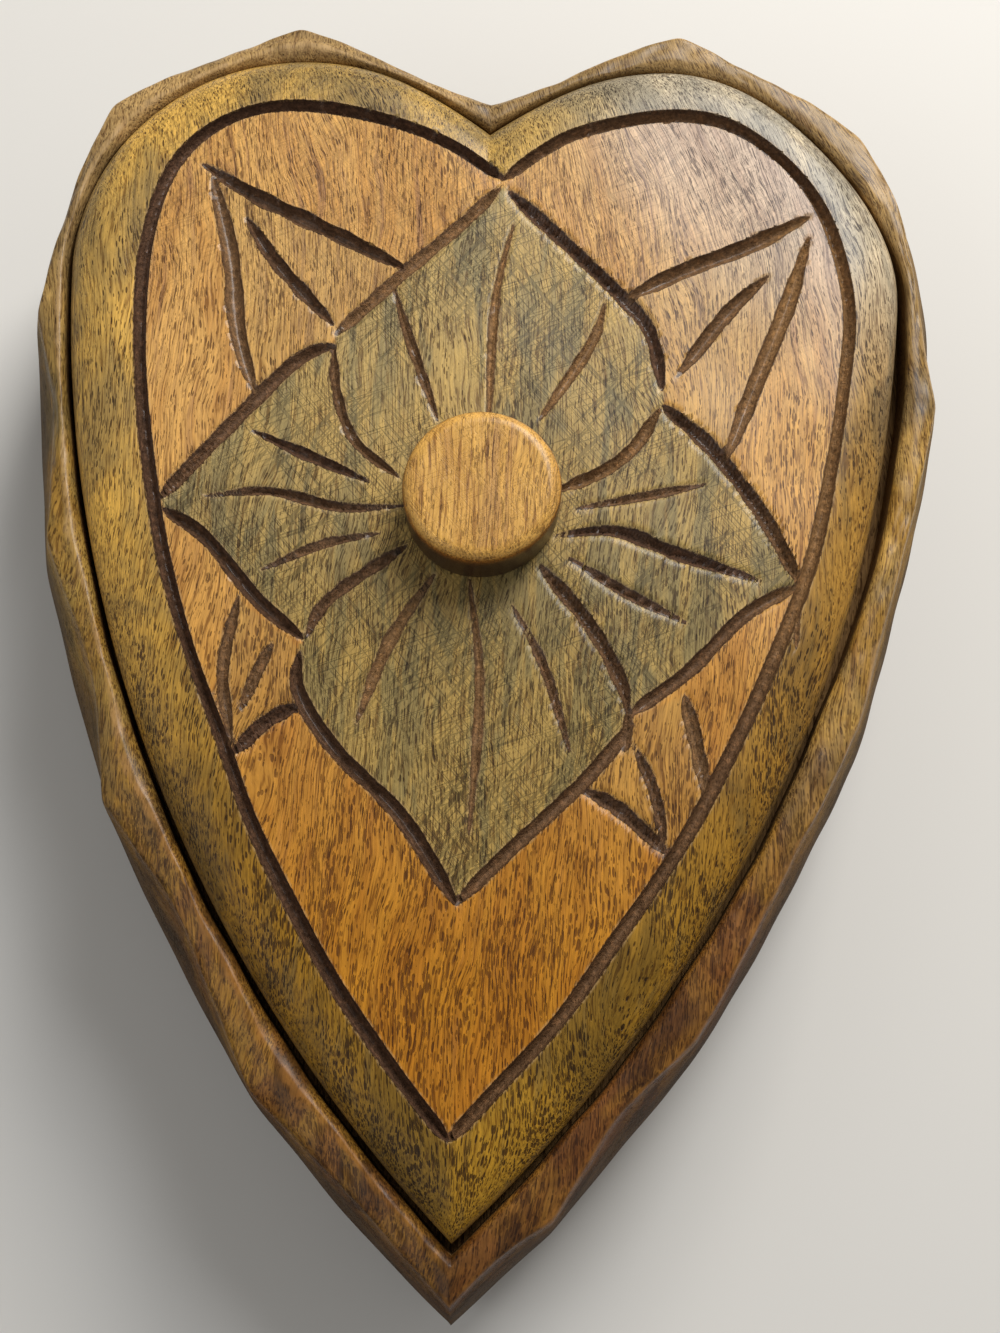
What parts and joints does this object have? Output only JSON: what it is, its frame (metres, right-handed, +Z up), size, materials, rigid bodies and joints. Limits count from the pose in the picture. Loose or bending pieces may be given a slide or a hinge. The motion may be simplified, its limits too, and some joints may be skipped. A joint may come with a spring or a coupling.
{
  "type": "heart trinket box",
  "caption": "Heart-shaped carved wooden keepsake box: hollowed body with a scalloped rim and a loose domed lid with a round knob.",
  "frame": {"origin": "centre of the box's bounding rectangle, on the surface it stands on", "axes": "+Z up, +Y from the heart's tip towards its lobes, +X to the right seen from above with the tip nearest"},
  "size_m": [0.1438, 0.1984, 0.0595],
  "materials": {
    "stained_wood": "satin varnish over olive-brown stain",
    "lid_wood": "satin varnish, amber panel with olive-brown border",
    "knob_wood": "satin varnish, honey",
    "screw_steel": "plain"
  },
  "bodies": {
    "box": {"box_body": "stained_wood"},
    "lid": {"lid": "lid_wood", "knob": "knob_wood", "knob_screw": "screw_steel"}
  },
  "joints": [
    {"name": "lid_lift", "type": "slide", "parent": "box", "child": "lid", "axis": [0, 0, 1], "range_m": [0, 0.07]}
  ]
}
